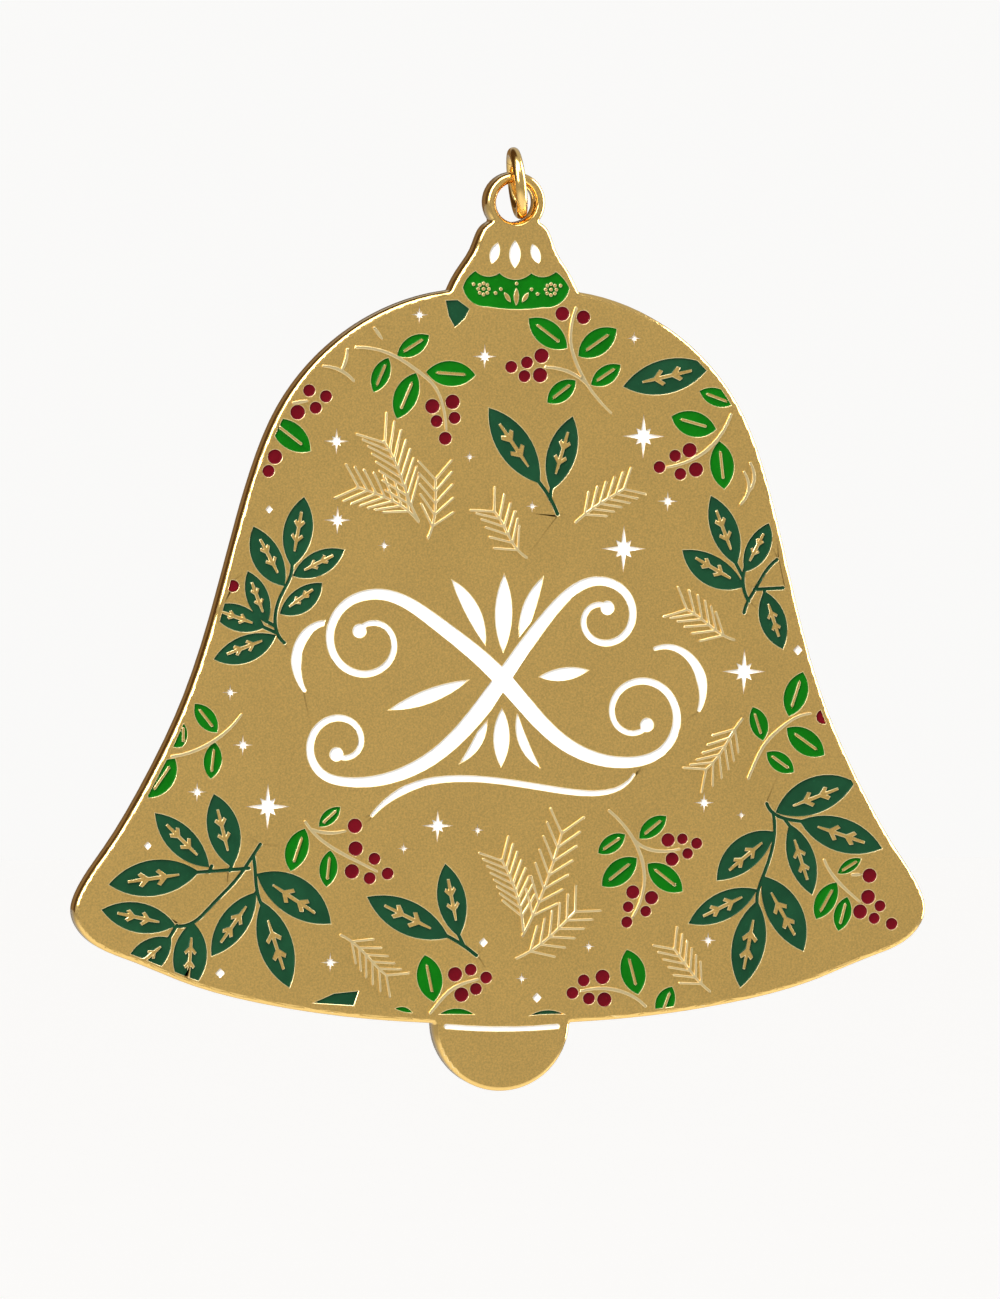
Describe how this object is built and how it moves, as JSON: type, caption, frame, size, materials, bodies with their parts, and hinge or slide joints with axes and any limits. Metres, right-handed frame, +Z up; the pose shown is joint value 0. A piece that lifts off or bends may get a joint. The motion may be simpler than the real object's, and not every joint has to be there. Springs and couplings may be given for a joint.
{
  "type": "flat bell-shaped hanging ornament",
  "caption": "Flat enamelled metal ornament in the outline of a bell, with leaves, berries, stars and scrolls, hung from a round jump ring.",
  "frame": {"origin": "where a hook or cord bears: the inner top of the jump ring", "axes": "+Z up, +X to the right as seen from the front, the enamelled front face looks towards -Y"},
  "size_m": [0.0766, 0.0064, 0.083],
  "materials": {
    "gold_plate": "satin gold plating, polished rim",
    "ring_wire": "polished",
    "dark_green_enamel": "gloss soft enamel",
    "bright_green_enamel": "gloss soft enamel",
    "red_enamel": "gloss soft enamel",
    "white_enamel": "gloss soft enamel"
  },
  "bodies": {
    "ring": {"jump_ring": "ring_wire"},
    "bell": {"bell_plate": "gold_plate", "berries_at_rim": "red_enamel", "berries_bottom_centre": "red_enamel", "berries_bottom_right": "red_enamel", "berries_centre_right": "red_enamel", "berries_left_top": "red_enamel", "berries_lower_left": "red_enamel", "berries_lower_right": "red_enamel", "berries_right_top": "red_enamel", "berries_top_centre": "red_enamel", "berries_top_left": "red_enamel", "bright_leaf_bottom": "bright_green_enamel", "bright_leaf_left_top": "bright_green_enamel", "bright_leaves_bottom_right": "bright_green_enamel", "bright_leaves_centre_right": "bright_green_enamel", "bright_leaves_left_middle": "bright_green_enamel", "bright_leaves_lower_left": "bright_green_enamel", "bright_leaves_lower_right": "bright_green_enamel", "bright_leaves_right_middle": "bright_green_enamel", "bright_leaves_right_top": "bright_green_enamel", "bright_leaves_top_centre": "bright_green_enamel", "bright_leaves_top_left": "bright_green_enamel", "bright_slivers_bottom": "bright_green_enamel", "cap_band": "bright_green_enamel", "cap_ovals": "white_enamel", "clapper_line": "white_enamel", "dark_leaf_upper_right": "dark_green_enamel", "dark_leaves_bottom": "dark_green_enamel", "dark_leaves_cut": "dark_green_enamel", "dark_leaves_left": "dark_green_enamel", "dark_leaves_lower_left": "dark_green_enamel", "dark_leaves_lower_right": "dark_green_enamel", "dark_leaves_right": "dark_green_enamel", "dark_leaves_top": "dark_green_enamel", "dark_sliver_bottom": "dark_green_enamel", "scroll_curls": "white_enamel", "scroll_leaves": "white_enamel", "scroll_ribbons": "white_enamel", "scroll_underline": "white_enamel", "stars_large": "white_enamel", "stars_medium": "white_enamel", "stars_small": "white_enamel", "stars_tiny": "white_enamel"}
  },
  "joints": [
    {"name": "bell_swing", "type": "hinge", "parent": "ring", "child": "bell", "pos_m": [0, 0, -0.00383], "axis": [0, 1, 0], "range_deg": [-95, 95]}
  ]
}
